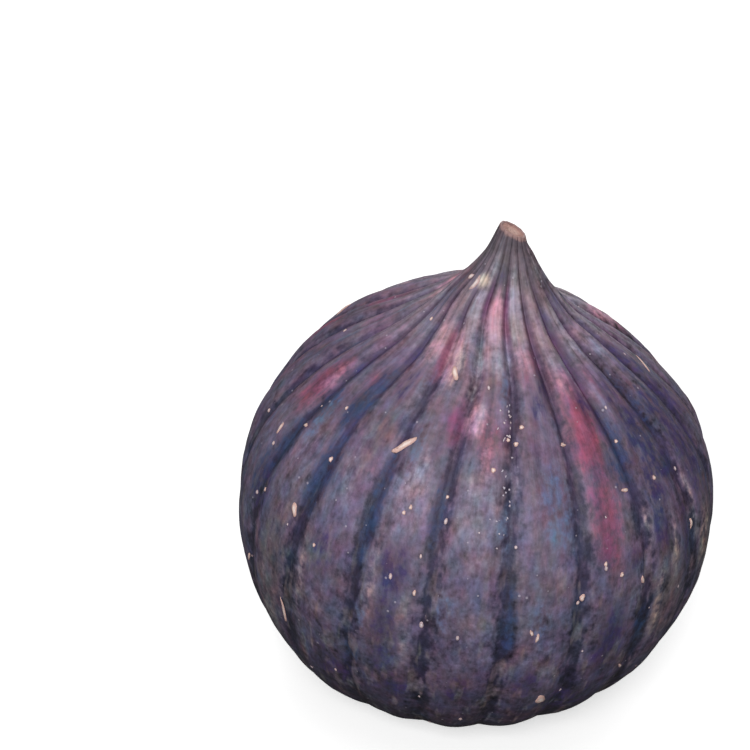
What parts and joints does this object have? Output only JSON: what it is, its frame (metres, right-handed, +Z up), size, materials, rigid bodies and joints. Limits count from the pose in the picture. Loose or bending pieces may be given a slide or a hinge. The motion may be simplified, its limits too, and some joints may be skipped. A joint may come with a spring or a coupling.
{
  "type": "fresh fig",
  "caption": "Whole ripe dark fig with a round ribbed body, a neck drawn out to a cut stalk and a closed eye underneath, standing upright on its flattened base.",
  "frame": {"origin": "the middle of the whole fig's outline seen from above, at the level of the surface that it stands on", "axes": "+Z up from the eye to the stalk, +X to the side that the stalk leans to, -Y the front, seen in the picture"},
  "size_m": [0.0569, 0.0575, 0.0608],
  "materials": {
    "skin": "ripe dark purple fig skin, dull satin under a grey-lavender waxy bloom, with pale lenticels and splits",
    "stalk_cut": "dried cut end of the stalk, pinkish tan and matte",
    "eye_scales": "small dry scales that close the eye, brownish pink with pale edges",
    "marks": "pale peach corky lenticels and healed splits of the skin, matte"
  },
  "bodies": {
    "root": {"fig": "skin"}
  },
  "joints": []
}
